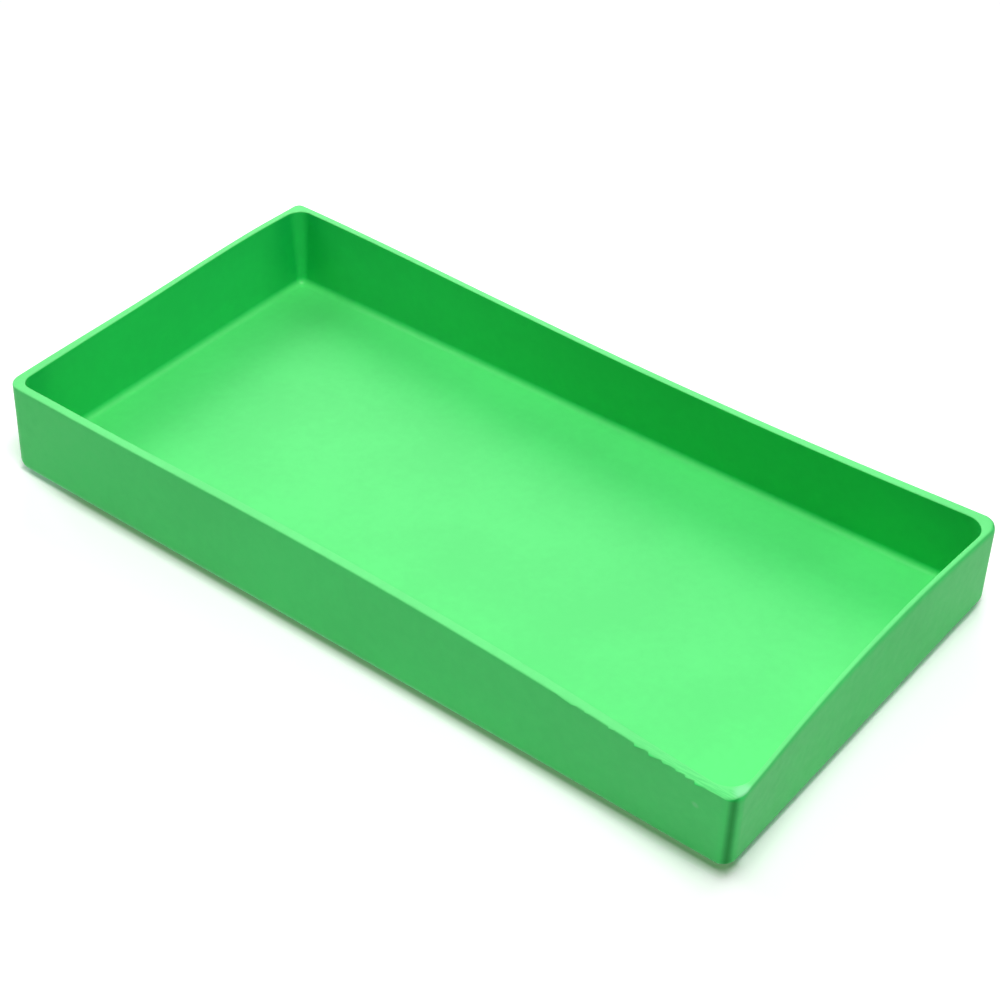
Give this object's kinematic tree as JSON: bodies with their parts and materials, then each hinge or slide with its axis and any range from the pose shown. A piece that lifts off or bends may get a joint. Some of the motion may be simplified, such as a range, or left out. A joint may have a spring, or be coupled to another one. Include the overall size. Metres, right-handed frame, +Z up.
{
  "type": "potting soil tray",
  "caption": "Shallow open rectangular tray moulded in thick plastic, with rounded corners, plain walls and a flat rim, for holding potting soil or standing plant pots in.",
  "frame": {"origin": "middle of the base, on the surface that the tray stands on", "axes": "+X along the long walls, +Y from the front long wall to the back one, +Z up out of the open top"},
  "size_m": [0.5466, 0.2718, 0.062],
  "materials": {
    "green_plastic": "satin, light moulded texture, solid colour all through"
  },
  "bodies": {
    "root": {"tray": "green_plastic"}
  },
  "joints": []
}
